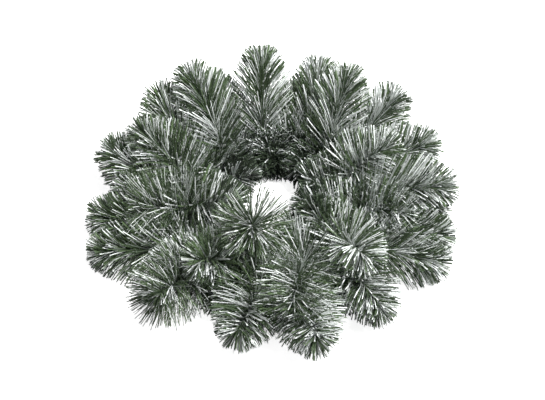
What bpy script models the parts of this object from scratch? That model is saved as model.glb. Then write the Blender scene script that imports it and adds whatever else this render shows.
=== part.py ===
"""Frosted artificial spruce wreath: brush-like sprays wound round a wire hoop.

Each spray is a twisted wire that grips a brush of needles. Its root end is bent once round the hoop
and its other end leans outward, stands up or leans into the hole. The wreath lies on its back, on
the undersides of the windings. Metres, +Z up.
"""

import math
import random

import bmesh
import bpy
import numpy as np
from mathutils import Matrix, Vector

# Hoop
HOOP_RADIUS = 0.080
HOOP_HALF_THICKNESS = 0.0020
HOOP_SIDES = 8
HOOP_STEPS = 48

# Stem of a spray, square in section, and its winding round the hoop
STEM_HALF_WIDTH = 0.00075
SEAT_GAP = 0.0003
WINDING_STEP = 45.0
WINDING_SWEEP = 300.0
WINDING_PITCH = 0.0026

# Needles, square at the root and narrowed to an edge at the cut end
NEEDLE_LENGTH = 0.042
END_NEEDLE_LENGTH = 0.017
TAPER_LENGTH = 0.040
PAST_TIP = 0.017
LENGTH_SPREAD = (0.93, 1.01)
NEEDLE_ROOT = 0.0011
NEEDLE_ROOT_RADIUS = 0.00085
NEEDLE_END_RADIUS = 0.0005
LEAN_SPREAD = 4.0
TURN_SPREAD = 14.0
FAN_LENGTH = 0.012
RING_SPACING = 0.0076
RING_TWIST = 37.0
BARE_STEM = 0.010

# A spray that leans its needles this much keeps them long up to its tip, and its end is cut square
OPEN_LEAN = 64
OPEN_END_LENGTH = 0.036

# Room that a needle keeps. Its neck, the share nearest its stem, may lie close to its own neighbours.
CLEARANCE = 0.0004
GROUND_CLEARANCE = 0.0013
NECK_SHARE = 0.13
TRIES = 30
SPREAD_PER_TRY = 0.1
FLATTEST = 0.3
STEEPEST_TRIM = 0.1
SEED = 7

# Clear round hole that no needle enters
HOLE_CENTRE = (0.0012, 0.0161)
HOLE_RADIUS = 0.031

# Sprays, each as (place on the hoop, leaving slope, arch, heading, rise, reach, needles' lean). Angles
# are in degrees: places and headings anticlockwise from +X, slopes up from the outward horizontal, so
# that more than 90 leans inward, and the lean from the stem. Arch and reach are in millimetres: the
# run in the leaving direction, and the run from the hoop to the tip by way of the bend.
OUTER_SPRAYS = (
    (2, 45, 15, 352, 11, 76, 48),
    (29, 45, 15, 11, 21, 86, 50),
    (40, 50, 15, 45, 26, 89, 50),
    (64, 50, 15, 84, 26, 84, 42),
    (78, 40, 15, 86, 18, 57, 45),
    (95, 80, 28, 91, 34, 91, 43),
    (116, 50, 15, 109, 25, 74, 48),
    (146, 65, 25, 115, 14, 96, 50),
    (166, 45, 15, 151, 16, 87, 52),
    (191, 45, 15, 172, 4, 84, 50),
    (204, 40, 12, 187, 4, 86, 52),
    (226, 60, 28, 228, 14, 83, 64),
    (244, 45, 15, 228, 13, 33, 55),
    (263, 85, 32, 250, -1, 96, 60),
    (281, 80, 28, 287, 1, 97, 60),
    (303, 40, 15, 301, 8, 37, 50),
    (317, 50, 28, 294, -1, 79, 44),
    (345, 45, 15, 348, 9, 81, 47),
)
UPPER_SPRAYS = (
    (9, 65, 30, 349, 13, 96, 50),
    (24, 100, 32, 20, 20, 74, 60),
    (50, 85, 32, 71, 30, 93, 46),
    (73, 50, 12, 100, 16, 31, 46),
    (110, 150, 14, 272, 36, 28, 50),
    (123, 90, 35, 121, 25, 100, 46),
    (158, 85, 30, 142, 17, 86, 56),
    (172, 50, 15, 170, 13, 62, 50),
    (184, 120, 26, 181, 4, 77, 70),
    (221, 60, 20, 204, 30, 49, 50),
    (234, 90, 42, 218, 10, 66, 56),
    (239, 150, 60, 260, 45, 101, 66),
    (250, 75, 20, 224, 19, 31, 50),
    (271, 70, 20, 251, 8, 38, 50),
    (297, 120, 50, 262, -7, 125, 68),
    (322, 95, 45, 306, -8, 80, 55),
    (333, 50, 25, 341, -1, 88, 46),
    (357, 70, 20, 335, 22, 59, 50),
)
INNER_SPRAYS = (
    (17, 135, 20, 184, 23, 52, 52),
    (57, 150, 12, 231, 21, 27, 46),
    (84, 150, 12, 278, 5, 26, 50),
    (90, 150, 14, 277, 25, 29, 50),
    (100, 150, 12, 272, 5, 26, 50),
    (137, 150, 14, 317, 22, 47, 55),
    (177, 75, 22, 351, 11, 74, 62),
    (256, 110, 18, 82, 43, 33, 50),
    (288, 120, 16, 93, 6, 60, 48),
    (327, 130, 20, 140, 28, 51, 52),
    (350, 135, 20, 172, 19, 56, 52),
)

HOOP_CORNER_RADIUS = HOOP_HALF_THICKNESS / math.cos(math.pi / HOOP_SIDES)
HALF_STEP_COS = math.cos(math.radians(WINDING_STEP / 2))
WINDING_RADIUS = (HOOP_CORNER_RADIUS + SEAT_GAP) / HALF_STEP_COS + STEM_HALF_WIDTH
HOOP_HEIGHT = (WINDING_RADIUS + STEM_HALF_WIDTH) * HALF_STEP_COS
STEM_RADIUS = STEM_HALF_WIDTH * math.sqrt(2)
CURVE_SAMPLES = 80
NEEDLE_SAMPLES = 16
TINY = 1e-14
UP = np.array([0.0, 0.0, 1.0])


def clear_scene():
    for old in list(bpy.data.objects):
        bpy.data.objects.remove(old, do_unlink=True)


def make_material(name, color, roughness, metallic):
    material = bpy.data.materials.new(name)
    material.use_nodes = True
    shader = material.node_tree.nodes["Principled BSDF"]
    shader.inputs["Base Color"].default_value = (*color, 1.0)
    shader.inputs["Roughness"].default_value = roughness
    shader.inputs["Metallic"].default_value = metallic
    return material


def add_object(name, bm, material):
    mesh = bpy.data.meshes.new(name)
    bm.to_mesh(mesh)
    bm.free()
    mesh.materials.append(material)
    obj = bpy.data.objects.new(name, mesh)
    bpy.context.scene.collection.objects.link(obj)
    return obj


def unit(vector):
    return vector / np.linalg.norm(vector)


def direction(heading, rise=0.0):
    heading, rise = math.radians(heading), math.radians(rise)
    return np.array(
        [math.cos(heading) * math.cos(rise), math.sin(heading) * math.cos(rise), math.sin(rise)]
    )


def make_hoop(material):
    """A closed ring of round wire with a flat along its underside."""
    bm = bmesh.new()
    section = bmesh.ops.create_circle(bm, segments=HOOP_SIDES, radius=HOOP_CORNER_RADIUS)["verts"]
    upright = Matrix.Rotation(math.pi / HOOP_SIDES, 4, "Y") @ Matrix.Rotation(math.pi / 2, 4, "X")
    bmesh.ops.transform(bm, matrix=upright, verts=section)
    bmesh.ops.translate(bm, vec=(HOOP_RADIUS, 0, HOOP_HEIGHT), verts=section)
    bmesh.ops.spin(
        bm,
        geom=bm.edges[:],
        cent=(0, 0, 0),
        axis=(0, 0, 1),
        angle=2 * math.pi,
        steps=HOOP_STEPS,
        use_merge=True,
    )
    bmesh.ops.recalc_face_normals(bm, faces=bm.faces[:])
    hoop = add_object("hoop", bm, material)
    hoop.data.shade_smooth()
    return hoop


class Stem:
    """The wire of one spray: cross-sections, each a centre with two axes, from its tail to its tip."""

    def __init__(self, place, leaving, arch, heading, rise, reach, lean):
        self.centres, self.sides, self.ups, self.stations = [], [], [], []
        self.lean = lean
        leave = self.wind_round_hoop(place, leaving)
        self.first_ring = len(self.centres) + 1
        self.lean_out(leave, arch / 1000, heading, rise, reach / 1000)

    def add(self, centre, side, up, station):
        self.centres.append(centre)
        self.sides.append(side)
        self.ups.append(up)
        self.stations.append(station)

    def wind_round_hoop(self, place, leaving):
        """The turn round the hoop, with one flat facet square under it. Returns the leaving direction."""
        outward, along = direction(place), direction(place + 90)
        middle = HOOP_RADIUS * outward + HOOP_HEIGHT * UP
        last = leaving - 90
        steps = range(math.ceil(-WINDING_SWEEP / WINDING_STEP) - 2, 4)
        corners = [-90 + WINDING_STEP * (step + 0.5) for step in steps]
        turns = [turn for turn in corners if last - WINDING_SWEEP < turn < last - WINDING_STEP / 3]
        for turn in [*turns, last]:
            spoke = math.cos(math.radians(turn)) * outward + math.sin(math.radians(turn)) * UP
            shift = WINDING_PITCH * (turn - turns[0]) / 360
            self.add(middle + WINDING_RADIUS * spoke + shift * along, spoke, along, 0.0)
        return np.cross(spoke, along)

    def lean_out(self, leave, arch, heading, rise, reach):
        """The run from the hoop to the tip, with a short pair of sections wherever needles grow."""
        start, side = self.centres[-1], self.sides[-1]
        knee = start + arch * leave
        tip = knee + (reach - arch) * direction(heading, rise)
        share = np.linspace(0, 1, CURVE_SAMPLES)[:, None]
        curve = (1 - share) ** 2 * start + 2 * share * (1 - share) * knee + share**2 * tip
        steps = np.diff(curve, axis=0)
        run = np.concatenate([[0], np.cumsum(np.linalg.norm(steps, axis=1))])
        self.length = run[-1]
        rings = round((self.length - BARE_STEM) / RING_SPACING)
        starts = self.length - NEEDLE_ROOT - RING_SPACING * np.arange(rings)[::-1]
        stations = [BARE_STEM / 2] + [s for a in starts for s in (a, a + NEEDLE_ROOT)]
        for index, station in enumerate(stations):
            centre = np.array([np.interp(station, run, curve[:, axis]) for axis in range(3)])
            along_stem = unit(steps[min(np.searchsorted(run, station), len(steps)) - 1])
            side = unit(side - side @ along_stem * along_stem)
            up = np.cross(along_stem, side)
            twist = math.radians(RING_TWIST) * (max(index - 1, 0) // 2)
            turned_side = math.cos(twist) * side + math.sin(twist) * up
            self.add(centre, turned_side, np.cross(along_stem, turned_side), station)

    def corners(self, index):
        centre, side, up = self.centres[index], self.sides[index], self.ups[index]
        signs = ((1, 1), (-1, 1), (-1, -1), (1, -1))
        return [centre + STEM_HALF_WIDTH * (a * side + b * up) for a, b in signs]


def closest(start, end, starts, ends):
    """Distance from one segment to each of many, with where it is met on the one and on the other."""
    d1, d2 = end - start, ends - starts
    gap = start - starts
    a = d1 @ d1
    e = np.maximum((d2 * d2).sum(1), TINY)
    b, c, f = d2 @ d1, gap @ d1, (d2 * gap).sum(1)
    bottom = a * e - b * b
    s = np.where(bottom > TINY, np.clip((b * f - c * e) / np.maximum(bottom, TINY), 0, 1), 0.0)
    t = np.clip((b * s + f) / e, 0, 1)
    s = np.clip((b * t - c) / a, 0, 1)
    away = start + s[:, None] * d1 - starts - t[:, None] * d2
    return np.linalg.norm(away, axis=1), s, t


def past_neck(root, end):
    return root + NECK_SHARE * (end - root)


class Room:
    """What is already there. A new needle must clear all of it."""

    def __init__(self, stems):
        self.stem_starts = np.concatenate([stem.centres[:-1] for stem in stems])
        self.stem_ends = np.concatenate([stem.centres[1:] for stem in stems])
        self.roots, self.ends, self.owners = [], [], []

    def add(self, owner, root, end):
        self.roots.append(root)
        self.ends.append(end)
        self.owners.append(owner)

    def is_clear(self, owner, root, end):
        if enters_hole(root, end) or meets_hoop(past_neck(root, end), end):
            return False
        gaps, _, _ = closest(past_neck(root, end), end, self.stem_starts, self.stem_ends)
        if (gaps < STEM_RADIUS + NEEDLE_ROOT_RADIUS + CLEARANCE).any():
            return False
        if not self.roots:
            return True
        roots, ends = np.array(self.roots), np.array(self.ends)
        own = np.array(self.owners) == owner
        near_kin = (own, past_neck(root, end), past_neck(roots, ends))
        taper = NEEDLE_ROOT_RADIUS - NEEDLE_END_RADIUS
        for group, start, starts in (near_kin, (~own, root, roots)):
            gaps, s, t = closest(start, end, starts[group], ends[group])
            if (gaps < 2 * NEEDLE_ROOT_RADIUS - taper * (s + t) + CLEARANCE).any():
                return False
        return True


def enters_hole(root, end):
    flat, middle = (end - root)[:2], np.array(HOLE_CENTRE) - root[:2]
    share = np.clip(middle @ flat / max(flat @ flat, TINY), 0, 1)
    return np.linalg.norm(middle - share * flat) < HOLE_RADIUS


def meets_hoop(start, end):
    points = np.linspace(start, end, NEEDLE_SAMPLES)
    from_circle = np.hypot(points[:, 0], points[:, 1]) - HOOP_RADIUS
    away = np.hypot(from_circle, points[:, 2] - HOOP_HEIGHT)
    return away.min() < HOOP_CORNER_RADIUS + NEEDLE_ROOT_RADIUS + CLEARANCE


def lift_off_ground(root, heading, length):
    """Bends a needle up where it would reach below the surface that the wreath lies on."""
    lowest = (GROUND_CLEARANCE - root[2]) / length
    if heading[2] >= lowest:
        return heading
    level = unit(np.array([heading[0], heading[1], 0.0]))
    return math.sqrt(1 - lowest * lowest) * level + lowest * UP


def choose_needle(owner, lean, root, normal, across, along_stem, to_tip, room, draw):
    """The end of a needle that starts at root and leans toward the tip, or None where none is clear."""
    end_length = OPEN_END_LENGTH if lean >= OPEN_LEAN else END_NEEDLE_LENGTH
    taper = max(0.0, 1 - to_tip / TAPER_LENGTH)
    length = NEEDLE_LENGTH + (end_length - NEEDLE_LENGTH) * taper
    fan = max(0.0, 1 - to_tip / FAN_LENGTH)
    for attempt in range(TRIES):
        spread = 1 + SPREAD_PER_TRY * attempt
        turn = math.radians(draw.uniform(-TURN_SPREAD, TURN_SPREAD) * spread)
        fanned = lean * (1 - fan * draw.random())
        tilt = math.radians(fanned + draw.uniform(-LEAN_SPREAD, LEAN_SPREAD) * spread)
        outward = math.cos(turn) * normal + math.sin(turn) * across
        heading = math.cos(tilt) * along_stem + math.sin(tilt) * outward
        trimmed = (to_tip + PAST_TIP) / max(math.cos(tilt), STEEPEST_TRIM)
        reach = min(length * draw.uniform(*LENGTH_SPREAD), trimmed)
        heading = lift_off_ground(root, heading, reach)
        end = root + reach * heading
        if heading @ unit(along_stem / 2 + normal) > FLATTEST and room.is_clear(owner, root, end):
            return end
    return None


def raise_needle(bm, facet, across, end):
    """Draws the facet out into a needle that narrows to an edge at its cut end."""
    needle = bmesh.ops.extrude_discrete_faces(bm, faces=[facet])["faces"][0]
    root = needle.calc_center_median()
    along = (Vector(end) - root).normalized()
    across = Vector(across)
    across = (across - across.dot(along) * along).normalized() * NEEDLE_END_RADIUS
    halves = {1: [], -1: []}
    for vert in needle.verts:
        halves[1 if (vert.co - root).dot(across) > 0 else -1].append(vert)
    for sign, verts in halves.items():
        for vert in verts:
            vert.co = Vector(end) + sign * across
        bmesh.ops.pointmerge(bm, verts=verts, merge_co=verts[0].co)


def make_spray(name, owner, stem, room, draw, material):
    bm = bmesh.new()
    rings = [[bm.verts.new(corner) for corner in stem.corners(0)]]
    bm.faces.new(rings[0][::-1])
    facets = []
    for index in range(1, len(stem.centres)):
        rings.append([bm.verts.new(corner) for corner in stem.corners(index)])
        for k in range(4):
            before, after = rings[-2], rings[-1]
            facet = bm.faces.new((before[k], before[(k + 1) % 4], after[(k + 1) % 4], after[k]))
            if index > stem.first_ring and (index - stem.first_ring) % 2:
                facets.append((facet, index, k))
    cap = bm.faces.new(rings[-1])
    plans = []
    for facet, index, k in facets:
        side, up = stem.sides[index], stem.ups[index]
        normal = (up, -side, -up, side)[k]
        plans.append((facet, index, normal, np.cross(normal, np.cross(side, up))))
    tip = len(stem.centres) - 1
    plans.append((cap, tip, np.cross(stem.sides[tip], stem.ups[tip]), stem.sides[tip]))
    placed = 0
    for facet, index, normal, across in plans:
        along_stem = np.cross(stem.sides[index], stem.ups[index])
        root = np.array(facet.calc_center_median())
        to_tip = stem.length - stem.stations[index]
        end = choose_needle(owner, stem.lean, root, normal, across, along_stem, to_tip, room, draw)
        if end is not None:
            room.add(owner, root, end)
            raise_needle(bm, facet, across, end)
            placed += 1
    print(f"{name}: {placed} of {len(plans)} needles")
    return add_object(name, bm, material)


def centre_on_origin(objects):
    """Puts the middle of the whole wreath, seen from above, over the origin."""
    points = np.array([vert.co for obj in objects for vert in obj.data.vertices])
    middle = (points.max(0) + points.min(0)) / 2
    for obj in objects:
        obj.data.transform(Matrix.Translation((-middle[0], -middle[1], 0)))


def main():
    clear_scene()
    draw = random.Random(SEED)
    wire = make_material("painted wire", (0.05, 0.11, 0.05), 0.45, 0.2)
    frosted = make_material("frosted needles", (0.30, 0.38, 0.29), 0.6, 0.0)
    plan = [
        (f"{kind}_spray_{number:02d}", Stem(*spray))
        for kind, sprays in (("outer", OUTER_SPRAYS), ("upper", UPPER_SPRAYS), ("inner", INNER_SPRAYS))
        for number, spray in enumerate(sprays, 1)
    ]
    room = Room([stem for _, stem in plan])
    objects = [make_hoop(wire)]
    for owner, (name, stem) in enumerate(plan):
        objects.append(make_spray(name, owner, stem, room, draw, frosted))
    centre_on_origin(objects)


main()
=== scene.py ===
import math
import random

import bmesh
import bpy
from mathutils import Matrix, Vector


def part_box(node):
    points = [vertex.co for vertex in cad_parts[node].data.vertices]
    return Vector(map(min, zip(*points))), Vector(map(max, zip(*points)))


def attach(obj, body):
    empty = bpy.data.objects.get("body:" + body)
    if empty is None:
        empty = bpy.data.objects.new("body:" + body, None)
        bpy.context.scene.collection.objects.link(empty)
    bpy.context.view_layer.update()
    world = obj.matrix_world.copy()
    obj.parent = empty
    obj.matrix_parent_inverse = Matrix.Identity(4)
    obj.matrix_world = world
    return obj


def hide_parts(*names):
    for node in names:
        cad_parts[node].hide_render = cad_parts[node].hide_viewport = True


# Frosted artificial spruce wreath. The frame holds the hoop and a coarse solid for every spray.
# Here each spray gets its twisted wire and its full brush of cut film needles.
# Metres, +Z up, and -Y is the side nearest the viewer.

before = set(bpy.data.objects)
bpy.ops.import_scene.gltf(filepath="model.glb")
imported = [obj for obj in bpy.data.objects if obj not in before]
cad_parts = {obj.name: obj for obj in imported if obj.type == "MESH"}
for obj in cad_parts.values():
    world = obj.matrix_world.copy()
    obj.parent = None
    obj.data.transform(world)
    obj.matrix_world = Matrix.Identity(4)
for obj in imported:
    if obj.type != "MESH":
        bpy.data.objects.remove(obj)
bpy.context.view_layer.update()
print("frame loaded:", len(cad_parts), "nodes")

up = Vector((0, 0, 1))


def direction(turn, rise=0):
    # turn is anticlockwise from +X seen from above, rise is above the horizontal, both in degrees
    flat = Matrix.Rotation(math.radians(turn), 3, "Z") @ Vector((1, 0, 0))
    return math.cos(math.radians(rise)) * flat + math.sin(math.radians(rise)) * up


# The hoop, as the frame has it
hoopLow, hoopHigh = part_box("hoop")
hoop = {
    "centre": (hoopLow + hoopHigh) / 2,
    "radius": 0.080,
    "wireRadius": 0.0021,
}

# The round opening that no needle enters. Its edge is ragged, so some needles keep further away.
hole = {
    "centre": hoop["centre"] + Vector((0.003, 0.0195, 0)),
    "radius": 0.0205,
    "ragged": 0.0045,
}

# One row for each spray: place on the hoop, leaving slope, arch (mm), heading, rise, reach (mm) and the
# lean of its needles. Angles are in degrees. The arch is how far the bend's knee lies out along the
# leaving slope.
sprayRows = {
    "outer": (
        (2, 45, 15, 352, 11, 76, 48),
        (29, 45, 15, 11, 21, 86, 50),
        (40, 50, 15, 45, 26, 89, 50),
        (64, 50, 15, 84, 26, 84, 42),
        (78, 40, 15, 86, 18, 57, 45),
        (95, 80, 28, 91, 34, 91, 43),
        (116, 50, 15, 109, 25, 74, 48),
        (146, 65, 25, 115, 14, 96, 50),
        (166, 45, 15, 151, 16, 87, 52),
        (191, 45, 15, 172, 4, 84, 50),
        (204, 40, 12, 187, 4, 86, 52),
        (226, 60, 28, 228, 14, 83, 64),
        (244, 45, 15, 228, 13, 33, 55),
        (263, 85, 32, 250, -1, 96, 60),
        (281, 80, 28, 287, 1, 97, 60),
        (303, 40, 15, 301, 8, 37, 50),
        (317, 50, 28, 294, -1, 79, 44),
        (345, 45, 15, 348, 9, 81, 47),
    ),
    "upper": (
        (9, 65, 30, 349, 13, 96, 50),
        (24, 100, 32, 20, 20, 74, 60),
        (50, 85, 32, 71, 30, 93, 46),
        (73, 50, 12, 100, 16, 31, 46),
        (110, 150, 14, 272, 36, 28, 50),
        (123, 90, 35, 121, 25, 100, 46),
        (158, 85, 30, 142, 17, 86, 56),
        (172, 50, 15, 170, 13, 62, 50),
        (184, 120, 26, 181, 4, 77, 70),
        (221, 60, 20, 204, 30, 49, 50),
        (234, 90, 42, 218, 10, 66, 56),
        (239, 150, 60, 260, 45, 101, 66),
        (250, 75, 20, 224, 19, 31, 50),
        (271, 70, 20, 251, 8, 38, 50),
        (297, 120, 50, 262, -7, 125, 68),
        (322, 95, 45, 306, -8, 80, 55),
        (333, 50, 25, 341, -1, 88, 46),
        (357, 70, 20, 335, 22, 59, 50),
    ),
    "inner": (
        (17, 135, 20, 184, 23, 52, 52),
        (57, 150, 12, 231, 21, 27, 46),
        (84, 150, 12, 278, 5, 26, 50),
        (90, 150, 14, 277, 25, 29, 50),
        (100, 150, 12, 272, 5, 26, 50),
        (137, 150, 14, 317, 22, 47, 55),
        (177, 75, 22, 351, 11, 74, 62),
        (256, 110, 18, 82, 43, 33, 50),
        (288, 120, 16, 93, 6, 60, 48),
        (327, 130, 20, 140, 28, 51, 52),
        (350, 135, 20, 172, 19, 56, 52),
    ),
}


def newMaterial(name):
    made = bpy.data.materials.new(name)
    made.use_nodes = True
    return made, made.node_tree, made.node_tree.nodes["Principled BSDF"]


def node(tree, kind, settings=None, **inputs):
    # adds a node, sets its properties, and fills or links its sockets by name; i_0 is the first socket
    made = tree.nodes.new(kind)
    for key, value in (settings or {}).items():
        setattr(made, key, value)
    for key, value in inputs.items():
        socket = made.inputs[int(key[2:])] if key.startswith("i_") else made.inputs[key.replace("_", " ")]
        if isinstance(value, bpy.types.NodeSocket):
            tree.links.new(value, socket)
        else:
            socket.default_value = value
    return made


def calculate(tree, operation, a, b=0.0, clamp=False):
    settings = {"operation": operation, "use_clamp": clamp}
    return node(tree, "ShaderNodeMath", settings, i_0=a, i_1=b).outputs[0]


def smoothStep(tree, value, low, high):
    settings = {"interpolation_type": "SMOOTHSTEP"}
    made = node(tree, "ShaderNodeMapRange", settings, Value=value, From_Min=low, From_Max=high)
    return made.outputs["Result"]


def noise(tree, place, scale, detail, roughness):
    values = {"Scale": scale, "Detail": detail, "Roughness": roughness}
    return node(tree, "ShaderNodeTexNoise", {}, Vector=place, **values).outputs["Fac"]


def blend(tree, share, first, second):
    return node(tree, "ShaderNodeMix", {"data_type": "RGBA"}, i_0=share, i_6=first, i_7=second).outputs[2]


def newGroup(name, inputs, outputs):
    tree = bpy.data.node_groups.new(name, "ShaderNodeTree")
    for title, kind, value in inputs:
        socket = tree.interface.new_socket(title, in_out="INPUT", socket_type=kind)
        socket.default_value = value
    for title, kind in outputs:
        tree.interface.new_socket(title, in_out="OUTPUT", socket_type=kind)
    return tree, tree.nodes.new("NodeGroupInput").outputs, tree.nodes.new("NodeGroupOutput").inputs


frost = {
    "phaseShift": 61.0,       # carries each strip to its own stretch of the pattern
    "acrossStretch": 5.0,     # the pattern runs lengthwise
    "streakScale": 2.3,
    "gapScale": 5.5,
    "speckScale": 16.0,
    "sway": 0.22,             # of the band's edges
    "gapRange": (0.30, 0.52),
    "speckRange": (0.5, 0.68),
    "breaks": 0.22,           # how far the gaps thin the white
    "specks": 0.08,
}


def frostGroup():
    # White frosting that was brushed on the film before it was cut: a band along the strip, broken up
    # and streaked lengthwise, and fine specks beside it
    number = "NodeSocketFloat"
    tree, given, result = newGroup(
        "frosting",
        [
            ("Across", number, 0.5),
            ("Along", number, 0.5),
            ("Band Centre", number, 0.5),
            ("Band Width", number, 0.3),
            ("Phase", number, 0.0),
            ("Softness", number, 0.12),
            ("Breaks", number, 0.5),
            ("Specks", number, 0.3),
        ],
        [("Frost", number), ("Streaks", number)],
    )
    shift = calculate(tree, "MULTIPLY", given["Phase"], frost["phaseShift"])
    wide = calculate(tree, "MULTIPLY", given["Across"], frost["acrossStretch"])
    place = node(tree, "ShaderNodeCombineXYZ", X=wide, Y=given["Along"], Z=shift).outputs[0]
    streaks = noise(tree, place, frost["streakScale"], 3.0, 0.6)
    gaps = noise(tree, place, frost["gapScale"], 2.0, 0.6)
    fine = noise(tree, place, frost["speckScale"], 2.0, 0.7)
    away = calculate(tree, "ABSOLUTE", calculate(tree, "SUBTRACT", given["Across"], given["Band Centre"]))
    sway = calculate(tree, "MULTIPLY", calculate(tree, "SUBTRACT", streaks, 0.5), frost["sway"])
    edge = calculate(tree, "SUBTRACT", given["Band Width"], calculate(tree, "ADD", away, sway))
    band = smoothStep(tree, edge, calculate(tree, "MULTIPLY", given["Softness"], -1.0), given["Softness"])
    missing = calculate(tree, "SUBTRACT", 1.0, smoothStep(tree, gaps, *frost["gapRange"]))
    kept = calculate(tree, "SUBTRACT", 1.0, calculate(tree, "MULTIPLY", given["Breaks"], missing))
    specks = calculate(tree, "MULTIPLY", smoothStep(tree, fine, *frost["speckRange"]), given["Specks"])
    whole = calculate(tree, "MAXIMUM", calculate(tree, "MULTIPLY", band, kept), specks, clamp=True)
    tree.links.new(whole, result["Frost"])
    tree.links.new(streaks, result["Streaks"])
    return tree


film = {
    "deepGreen": (0.010, 0.018, 0.008, 1),
    "midGreen": (0.029, 0.049, 0.021, 1),
    "paleGreen": (0.088, 0.140, 0.056, 1),
    "frostWhite": (0.77, 0.80, 0.79, 1),
    "cutEnd": (0.10, 0.14, 0.09, 1),
    "frostCover": 0.92,
    "streakShade": 0.35,      # how much lighter the streaks make the green
    "paintedRootShade": 0.12,        # painted shade: how much darker the green is at the root, deep in the brush
    "paintedRootShadeEnds": 0.5,     # share of the length
    "cutEndRange": (0.965, 0.995),
    "greenRoughness": 0.5,
    "frostRoughness": 0.88,
    "grain": 0.00008,
}


def filmMaterial(frosting):
    # green film, read from the strip's own UV map, across and along, and from its tone: shade, band place,
    # band width and phase
    made, tree, shader = newMaterial("frosted_film")
    uv = node(tree, "ShaderNodeUVMap", {"uv_map": "film"}).outputs["UV"]
    split = node(tree, "ShaderNodeSeparateXYZ", {}, Vector=uv).outputs
    tone = node(tree, "ShaderNodeAttribute", {"attribute_name": "tone"})
    parts = node(tree, "ShaderNodeSeparateColor", {}, Color=tone.outputs["Color"]).outputs
    frosted = tree.nodes.new("ShaderNodeGroup")
    frosted.node_tree = frosting
    feeds = {
        "Across": split["X"],
        "Along": split["Y"],
        "Band Centre": parts["Green"],
        "Band Width": parts["Blue"],
        "Phase": tone.outputs["Alpha"],
    }
    for title, value in feeds.items():
        tree.links.new(value, frosted.inputs[title])
    frosted.inputs["Breaks"].default_value = frost["breaks"]
    frosted.inputs["Specks"].default_value = frost["specks"]
    white, streaks = frosted.outputs["Frost"], frosted.outputs["Streaks"]
    # the green: each strip's shade, darker toward its root as painted shade, with faint lengthwise streaks
    shade = calculate(tree, "ADD", parts["Red"], calculate(tree, "MULTIPLY", streaks, film["streakShade"]))
    outward = smoothStep(tree, split["Y"], 0.0, film["paintedRootShadeEnds"])
    rootShadeLift = calculate(tree, "MULTIPLY", outward, film["paintedRootShade"])
    darkened = calculate(tree, "ADD", shade, calculate(tree, "SUBTRACT", rootShadeLift, film["paintedRootShade"]))
    ramp = node(tree, "ShaderNodeValToRGB", {}, Fac=darkened)
    ramp.color_ramp.elements[0].color = film["deepGreen"]
    ramp.color_ramp.elements[0].position = 0.05
    ramp.color_ramp.elements[1].color = film["paleGreen"]
    middle = ramp.color_ramp.elements.new(0.5)
    middle.color = film["midGreen"]
    cut = smoothStep(tree, split["Y"], *film["cutEndRange"])
    green = blend(tree, cut, ramp.outputs["Color"], film["cutEnd"])
    cover = calculate(tree, "MULTIPLY", white, film["frostCover"])
    tree.links.new(blend(tree, cover, green, film["frostWhite"]), shader.inputs["Base Color"])
    ends = {"To_Min": film["greenRoughness"], "To_Max": film["frostRoughness"]}
    rough = node(tree, "ShaderNodeMapRange", {}, Value=white, **ends)
    tree.links.new(rough.outputs["Result"], shader.inputs["Roughness"])
    height = calculate(tree, "ADD", calculate(tree, "MULTIPLY", streaks, 0.5), white)
    bump = node(tree, "ShaderNodeBump", {}, Strength=0.5, Distance=film["grain"], Height=height)
    tree.links.new(bump.outputs["Normal"], shader.inputs["Normal"])
    return made


wire = {
    "darkPaint": (0.020, 0.052, 0.022, 1),
    "lightPaint": (0.060, 0.115, 0.055, 1),
    "bareSteel": (0.16, 0.17, 0.16, 1),
    "scuffScale": 900.0,
    "patchScale": 140.0,
    "bareRange": (0.60, 0.68),
    "roughness": (0.32, 0.62),
    "metal": 0.85,
    "grain": 0.00006,
}


def wireMaterial():
    # dark green lacquered steel, dulled and chipped here and there
    made, tree, shader = newMaterial("green_wire")
    place = node(tree, "ShaderNodeTexCoord").outputs["Object"]
    scuffs = noise(tree, place, wire["scuffScale"], 4.0, 0.65)
    patches = noise(tree, place, wire["patchScale"], 3.0, 0.55)
    bare = smoothStep(tree, scuffs, *wire["bareRange"])
    paint = blend(tree, patches, wire["darkPaint"], wire["lightPaint"])
    tree.links.new(blend(tree, bare, paint, wire["bareSteel"]), shader.inputs["Base Color"])
    ends = {"To_Min": wire["roughness"][0], "To_Max": wire["roughness"][1]}
    rough = node(tree, "ShaderNodeMapRange", {}, Value=patches, **ends)
    tree.links.new(rough.outputs["Result"], shader.inputs["Roughness"])
    tree.links.new(calculate(tree, "MULTIPLY", bare, wire["metal"]), shader.inputs["Metallic"])
    bump = node(tree, "ShaderNodeBump", {}, Strength=0.35, Distance=wire["grain"], Height=scuffs)
    tree.links.new(bump.outputs["Normal"], shader.inputs["Normal"])
    return made


frostedFilm = filmMaterial(frostGroup())
greenWire = wireMaterial()
print("materials made")


# The cut strips that the brushes are filled with
strip = {
    "length": 0.042,
    "width": 0.00096,
    "rootWidth": 0.6,      # share of the width where the wires pinch it
    "fullWidthAt": 0.25,   # share of the length
    "thickness": 0.00024,
    "cuts": 2,
    # bow, as a share of the length, and twist in degrees
    "shapes": ((-0.07, 8), (-0.03, -12), (0.0, 5), (0.03, -6), (0.05, 13), (0.08, -3)),
}


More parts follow.
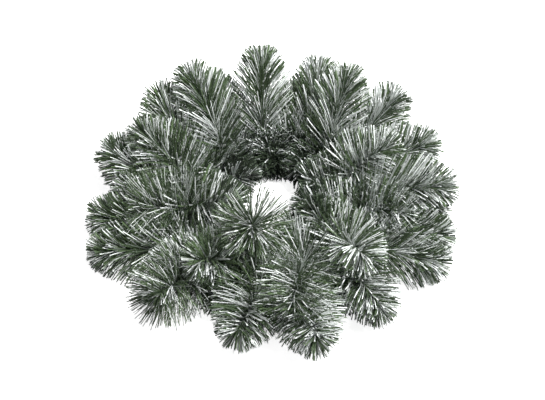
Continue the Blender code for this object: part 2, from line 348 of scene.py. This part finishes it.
def cutStrip(number, bow, twist):
    # x across, y along from the root, z through the film
    bm = bmesh.new()
    bmesh.ops.create_cube(bm, size=1, matrix=Matrix.Translation((0, 0.5, 0)))
    lengthwise = [edge for edge in bm.edges if abs(edge.verts[0].co.y - edge.verts[1].co.y) > 0.5]
    bmesh.ops.subdivide_edges(bm, edges=lengthwise, cuts=strip["cuts"], use_grid_fill=True)
    uv = bm.loops.layers.uv.new("film")
    for face in bm.faces:
        for loop in face.loops:
            loop[uv].uv = (loop.vert.co.x + 0.5, loop.vert.co.y)
    bm.verts.layers.float_color.new("tone")
    size = Matrix.Diagonal((strip["width"], strip["length"], strip["thickness"], 1))
    for vert in bm.verts:
        share = vert.co.y
        spread = strip["rootWidth"] + (1 - strip["rootWidth"]) * min(1, share / strip["fullWidthAt"])
        turned = Matrix.Rotation(math.radians(twist) * share, 4, "Y")
        bent = Matrix.Translation((0, 0, bow * strip["length"] * share**2))
        vert.co = bent @ turned @ size @ Vector((vert.co.x * spread, share, vert.co.z))
    mesh = bpy.data.meshes.new(f"strip_{number}")
    bm.to_mesh(mesh)
    bm.free()
    return mesh


strips = [cutStrip(number, bow, twist) for number, (bow, twist) in enumerate(strip["shapes"])]
stripVerts = len(strips[0].vertices)


# Stems: two thin wires twisted together, wound round the hoop at the root
stem = {
    "wireRadius": 0.00036,
    "wireSides": 6,
    "pitch": 0.0084,          # one turn of the twist
    "step": 0.0012,           # between the sections of the wire
    "windingSweep": 300,
    "windingStep": 15,
    "windingPitch": 0.0026,
    "firstCorner": -67.5,     # the winding starts at one of the corners of the frame's one
    "cornerStep": 45,
}
windingRadius = hoop["centre"].z - 2 * stem["wireRadius"]


class StemLine:
    # the middle line of a stem: stations a small step apart, each with its place, two side axes and its run
    def __init__(self, place, leaving, arch, aim, rise, reach, lean):
        self.lean = lean
        outward, along = direction(place), direction(place + 90)
        middle = hoop["centre"] + hoop["radius"] * outward
        last = leaving - 90
        corners = [stem["firstCorner"] + stem["cornerStep"] * step for step in range(-8, 4)]
        first = min(turn for turn in corners if turn > last - stem["windingSweep"])
        points = []
        turn = first
        while turn < last + 0.5 * stem["windingStep"]:
            spoke = math.cos(math.radians(turn)) * outward + math.sin(math.radians(turn)) * up
            shift = stem["windingPitch"] * (turn - first) / 360
            points.append(middle + windingRadius * spoke + shift * along)
            turn += (last - first) / round((last - first) / stem["windingStep"])
        self.wound = len(points) - 1
        leave = spoke.cross(along)
        start = points[-1]
        knee = start + arch / 1000 * leave
        tip = knee + (reach - arch) / 1000 * direction(aim, rise)
        count = math.ceil(reach / 1000 / stem["step"])
        for number in range(1, count + 1):
            share = number / count
            points.append((1 - share) ** 2 * start + 2 * share * (1 - share) * knee + share**2 * tip)
        self.points = points
        self.axes = []
        side = points[0] - middle
        for number, point in enumerate(points):
            after = points[min(number + 1, len(points) - 1)]
            before = points[max(number - 1, 0)]
            ahead = (after - before).normalized()
            side = (side - side.dot(ahead) * ahead).normalized()
            self.axes.append((ahead, side.copy(), ahead.cross(side)))
        self.runs = [0.0]
        for before, after in zip(points, points[1:]):
            self.runs.append(self.runs[-1] + (after - before).length)
        self.bare = self.runs[self.wound]
        self.length = self.runs[-1]

    def at(self, run):
        number = next((n for n, r in enumerate(self.runs) if r > run), len(self.runs) - 1)
        share = (run - self.runs[number - 1]) / (self.runs[number] - self.runs[number - 1])
        return self.points[number - 1].lerp(self.points[number], share), self.axes[number]

    def nearTip(self, run, over):
        # 0 up to the last stretch of the stem, rising to 1 at its tip
        return max(0.0, 1 - (self.length - run) / over)


def twistWire(bm, line, offset):
    # one of the two wires: a ring of edges extruded from station to station round the stem's middle line
    ring = bmesh.ops.create_circle(bm, segments=stem["wireSides"], radius=stem["wireRadius"])["verts"]
    edges = list({edge for vert in ring for edge in vert.link_edges})
    before = Matrix.Identity(4)
    for number, (point, run) in enumerate(zip(line.points, line.runs)):
        ahead, side, over = line.axes[number]
        turn = 2 * math.pi * run / stem["pitch"] + offset
        out = math.cos(turn) * side + math.sin(turn) * over
        # the wire follows its own helix, so its sections lean round the middle line
        aside = ahead.cross(out) * (2 * math.pi * stem["wireRadius"] / stem["pitch"])
        forward = (ahead + aside).normalized()
        sideways = (out - out.dot(forward) * forward).normalized()
        axes = Matrix((sideways, forward.cross(sideways), forward)).transposed().to_4x4()
        place = Matrix.Translation(point + stem["wireRadius"] * out) @ axes
        if number:
            made = bmesh.ops.extrude_edge_only(bm, edges=edges)["geom"]
            ring = [item for item in made if isinstance(item, bmesh.types.BMVert)]
            edges = [item for item in made if isinstance(item, bmesh.types.BMEdge)]
        bmesh.ops.transform(bm, matrix=place @ before.inverted(), verts=ring)
        before = place


# Brushes, each a stem filled with strips
brush = {
    "needleGap": 0.00034,        # along the stem, between places where a strip stands out on both sides
    "gapSpread": 0.0001,
    "rootOut": 0.0002,           # from the stem's middle line
    "rootStretch": 0.014,        # up to here, and round the hoop, the needles stand out more squarely
    "squarerAtRoot": 8,
    "leanDeviation": 0.6,
    "taper": 0.040,              # over this last run the needles shorten toward the tip
    "pastTip": 0.0165,           # how far beyond the tip the end is cut square
    "steepestCut": 0.1,
    "lengthSpread": (0.93, 1.03),
    "ground": 0.0008,            # the lowest that a strip's middle line may be
    "groundLift": 0.0009,        # more than that for a needle's end, for its bow
    "wireClear": 0.0005,
    "checkedAt": (0.35, 0.7, 1.0),
    "tries": 10,
    "widerEachTry": 0.25,
    "frostAsLightRight": 0.6,        # painted light: added to the frosted share for each metre toward +X, so that the side the light falls on is whiter
    "frostedSpread": 0.04,
    "openLean": 64,              # sprays that lean their needles this much are open ones
    "seed": 11,
}

# Most brushes have their needles in neat rows. The open ones keep them long, finer and loose all round.
brushKinds = {
    "neat": {
        "spacing": 1,
        "crowdAtTip": 0.62,      # share by which the gap closes toward the tip
        "turnSpread": 6,
        "leanSpread": 2,
        "shareAtTip": 0.50,      # of the full length
        "fan": 0.012,            # over this last run some needles close up round the tip
        "fanBias": 1.6,          # the higher, the fewer of them
        "width": 1,
        "frostedShare": 0.54,
    },
    "open": {
        "spacing": 0.85,
        "crowdAtTip": 0.78,
        "turnSpread": 90,
        "leanSpread": 13,
        "shareAtTip": 0.92,
        "fan": 0.024,
        "fanBias": 1.2,
        "width": 0.62,
        "frostedShare": 0.44,
    },
}

# Strips come in small lots, which were cut side by side from one frosted film and look alike
lots = {
    "frostedStrips": (1, 2),
    "greenStrips": (1, 3),
    "rollSpread": 75,
    "ownRoll": 7,                # of one strip in its lot
    "shade": 0.50,
    "shadeDeviation": 0.2,
    "bandCentres": (0.08, 0.12, 0.5, 0.88, 0.92),
    "frostedBand": (0.66, 0.14),     # the white band's width and its deviation
    "greenBand": (-0.14, 0.08),      # below nothing, so that hardly any white is left
}

# Low on the wall of the hole the needles are less frosted, and their green is darker there as painted shade
wall = {
    "radius": 0.072,
    "height": 0.042,
    "blend": 0.015,
    "lostFrost": 0.62,
    # painted shade: how much the green darkens low in the wall
    "paintedWallShade": 0.50,
}


def roomFor(points, clearRadius):
    # True where the strip stays off the ground, out of the hole and off the hoop's wire
    for point in points:
        if point.z < brush["ground"]:
            return False
        if (point - hole["centre"]).xy.length < clearRadius:
            return False
        fromHoop = (point - hoop["centre"]).xy.length - hoop["radius"]
        if math.hypot(fromHoop, point.z - hoop["centre"].z) < hoop["wireRadius"] + brush["wireClear"]:
            return False
    return True


def depthInWall(point):
    # 1 low on the wall of the hole, 0 outside it
    inward = (wall["radius"] - (point - hole["centre"]).xy.length) / wall["blend"]
    downward = (wall["height"] - point.z) / wall["blend"]
    return max(0, min(1, inward)) * max(0, min(1, downward))


def liftOffGround(root, aim, reach):
    # bends a needle up where it would reach below the surface that the wreath lies on
    lowest = (brush["ground"] + brush["groundLift"] - root.z) / reach
    if aim.z >= lowest:
        return aim
    level = Vector((aim.x, aim.y, 0)).normalized()
    return math.sqrt(1 - lowest**2) * level + lowest * up


def layNeedle(line, kind, run, angle, lot, draw):
    # where one strip goes: its placing matrix and which of the cut shapes it is
    point, (ahead, side, over) = line.at(run)
    square = max(0.0, 1 - max(0.0, run - line.bare) / brush["rootStretch"])
    lean = line.lean + brush["squarerAtRoot"] * square
    fanned = line.nearTip(run, kind["fan"])
    share = 1 + (kind["shareAtTip"] - 1) * line.nearTip(run, brush["taper"])
    clearRadius = hole["radius"] + draw.uniform(0, hole["ragged"])
    for attempt in range(brush["tries"]):
        wider = 1 + brush["widerEachTry"] * attempt
        turn = math.radians(angle + draw.uniform(-1, 1) * kind["turnSpread"] * wider)
        leaned = lean * (1 - fanned * draw.random() ** kind["fanBias"])
        tilt = math.radians(leaned + draw.gauss(0, brush["leanDeviation"]) * kind["leanSpread"] * wider)
        length = share * draw.uniform(*brush["lengthSpread"])
        roll = math.radians(lot["roll"] + draw.uniform(-1, 1) * lots["ownRoll"])
        shape = draw.randrange(len(strips))
        out = math.cos(turn) * side + math.sin(turn) * over
        root = point + brush["rootOut"] * out
        trimmed = (line.length - run + brush["pastTip"]) / max(math.cos(tilt), brush["steepestCut"])
        length = min(length, trimmed / strip["length"])
        reach = length * strip["length"]
        aim = liftOffGround(root, math.cos(tilt) * ahead + math.sin(tilt) * out, reach)
        width = (ahead - ahead.dot(aim) * aim).normalized()
        axes = Matrix((width, aim, width.cross(aim))).transposed().to_4x4()
        size = Matrix.Diagonal((kind["width"], length, 1, 1))
        place = Matrix.Translation(root) @ axes @ Matrix.Rotation(roll, 4, "Y") @ size
        bow = strip["shapes"][shape][0] * strip["length"]
        marks = [place @ Vector((0, s * strip["length"], bow * s**2)) for s in brush["checkedAt"]]
        if roomFor(marks, clearRadius):
            return place, shape
    return None


def nextLot(frostedShare, deep, draw):
    frosted = draw.random() < frostedShare * (1 - wall["lostFrost"] * deep)
    # the green is made darker low in the wall, as painted shade
    shade = lots["shade"] - wall["paintedWallShade"] * deep
    return {
        "strips": draw.randint(*lots["frostedStrips" if frosted else "greenStrips"]),
        "roll": draw.uniform(-1, 1) * lots["rollSpread"],
        "shade": min(1, max(0, draw.gauss(shade, lots["shadeDeviation"]))),
        "centre": draw.choice(lots["bandCentres"]),
        "width": draw.gauss(*lots["frostedBand" if frosted else "greenBand"]),
    }


def fillBrush(bm, line, draw):
    tone = bm.verts.layers.float_color["tone"]
    kind = brushKinds["open" if line.lean >= brush["openLean"] else "neat"]
    chance = draw.uniform(-brush["frostedSpread"], brush["frostedSpread"])
    # the extra frost toward +X is painted light on that side
    frostedShare = kind["frostedShare"] + (brush["frostAsLightRight"] * line.points[-1].x + chance)
    laid = 0
    lotOn = {}
    run = brush["needleGap"]
    while run < line.length:
        twist = 360 * run / stem["pitch"]
        for half in (0, 180):
            if half not in lotOn or lotOn[half]["strips"] == 0:
                lotOn[half] = nextLot(frostedShare, depthInWall(line.at(run)[0]), draw)
            lot = lotOn[half]
            lot["strips"] -= 1
            shifted = run + draw.uniform(-brush["gapSpread"], brush["gapSpread"])
            found = layNeedle(line, kind, shifted, twist + half, lot, draw)
            phase = draw.random()
            if found is None:
                continue
            place, shape = found
            bm.from_mesh(strips[shape])
            bm.verts.ensure_lookup_table()
            fresh = bm.verts[-stripVerts:]
            bmesh.ops.transform(bm, matrix=place, verts=fresh)
            for vert in fresh:
                vert[tone] = (lot["shade"], lot["centre"], lot["width"], phase)
            laid += 1
        crowded = 1 - kind["crowdAtTip"] * line.nearTip(run, brush["taper"])
        run += brush["needleGap"] * kind["spacing"] * crowded
    return laid


def makeBrush(tier, number, row, draw):
    line = StemLine(*row)
    bm = bmesh.new()
    bm.loops.layers.uv.new("film")
    bm.verts.layers.float_color.new("tone")
    twistWire(bm, line, 0)
    twistWire(bm, line, math.pi)
    bmesh.ops.holes_fill(bm, edges=bm.edges[:], sides=0)
    bmesh.ops.recalc_face_normals(bm, faces=bm.faces[:])
    for face in bm.faces:
        face.material_index = 1
        face.smooth = True
    laid = fillBrush(bm, line, draw)
    name = f"{tier}_brush_{number:02d}"
    mesh = bpy.data.meshes.new(name)
    bm.to_mesh(mesh)
    bm.free()
    mesh.materials.append(frostedFilm)
    mesh.materials.append(greenWire)
    made = bpy.data.objects.new(name, mesh)
    bpy.context.scene.collection.objects.link(made)
    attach(made, "root")
    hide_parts(f"{tier}_spray_{number:02d}")
    return laid


draw = random.Random(brush["seed"])
needles = 0
for tier, rows in sprayRows.items():
    for number, row in enumerate(rows, 1):
        needles += makeBrush(tier, number, row, draw)
    print(tier, "brushes done:", needles, "needles so far")
for mesh in strips:
    bpy.data.meshes.remove(mesh)

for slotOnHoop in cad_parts["hoop"].material_slots:
    slotOnHoop.material = greenWire

# Floor, light and camera
studio = {
    "floorColour": (0.93, 0.93, 0.93, 1),
    "floorReturn": (0.30, 0.30, 0.30, 1),   # what it gives back to the wreath, so that the gaps stay dark
    "floorGlow": 0.85,                      # keeps the paper white in the shadows, as in the photograph
    "floorRadius": 6,
    "floorDrop": 0.0002,
    "worldStrength": 0.07,
    "keyPlace": (0.86, 0.26, 1.56),
    "keySize": 1.1,
    "keyPower": 101,
    "fillPlace": (-0.8, -1.2, 1.0),
    "fillSize": 0.9,
    "fillPower": 4,
    "aimHeight": 0.030,
    "elevation": 54,
    "distance": 1.5,
    "lens": 105.6,
}
white = (1, 1, 1, 1)


def makeFloor():
    bm = bmesh.new()
    bmesh.ops.create_circle(bm, cap_ends=True, segments=96, radius=studio["floorRadius"])
    mesh = bpy.data.meshes.new("floor")
    bm.to_mesh(mesh)
    bm.free()
    made, tree, shader = newMaterial("pale_paper")
    seen = tree.nodes.new("ShaderNodeLightPath").outputs["Is Camera Ray"]
    paper = blend(tree, seen, studio["floorReturn"], studio["floorColour"])
    tree.links.new(paper, shader.inputs["Base Color"])
    shader.inputs["Roughness"].default_value = 0.9
    shader.inputs["Emission Color"].default_value = white
    glow = calculate(tree, "MULTIPLY", seen, studio["floorGlow"])
    tree.links.new(glow, shader.inputs["Emission Strength"])
    mesh.materials.append(made)
    floor = bpy.data.objects.new("floor", mesh)
    floor.location.z = -studio["floorDrop"]
    bpy.context.scene.collection.objects.link(floor)


def makeWorld():
    # dim as a light, but as white as the paper where the camera sees it past the floor's edge
    world = bpy.data.worlds.new("studio")
    world.use_nodes = True
    tree = world.node_tree
    dim = tree.nodes["Background"]
    dim.inputs["Color"].default_value = white
    dim.inputs["Strength"].default_value = studio["worldStrength"]
    bright = node(tree, "ShaderNodeBackground", {}, Color=white, Strength=1.0)
    seen = tree.nodes.new("ShaderNodeLightPath").outputs["Is Camera Ray"]
    both = node(tree, "ShaderNodeMixShader", {}, i_0=seen, i_1=dim.outputs[0], i_2=bright.outputs[0])
    tree.links.new(both.outputs[0], tree.nodes["World Output"].inputs["Surface"])
    bpy.context.scene.world = world


def softLight(name, target):
    lamp = bpy.data.lights.new(name, "AREA")
    lamp.shape = "DISK"
    lamp.size = studio[name + "Size"]
    lamp.energy = studio[name + "Power"]
    made = bpy.data.objects.new(name, lamp)
    made.location = studio[name + "Place"]
    made.rotation_euler = (target - made.location).to_track_quat("-Z", "Y").to_euler()
    bpy.context.scene.collection.objects.link(made)


def makeCamera(target):
    lens = bpy.data.cameras.new("camera")
    lens.lens = studio["lens"]
    camera = bpy.data.objects.new("camera", lens)
    back = direction(-90, studio["elevation"])
    camera.location = target + studio["distance"] * back
    camera.rotation_euler = (-back).to_track_quat("-Z", "Y").to_euler()
    bpy.context.scene.collection.objects.link(camera)
    bpy.context.scene.camera = camera


target = Vector((hoop["centre"].x, hoop["centre"].y, studio["aimHeight"]))
makeFloor()
makeWorld()
softLight("key", target)
softLight("fill", target)
makeCamera(target)
bpy.context.scene.view_settings.view_transform = "Standard"
print("studio set up")
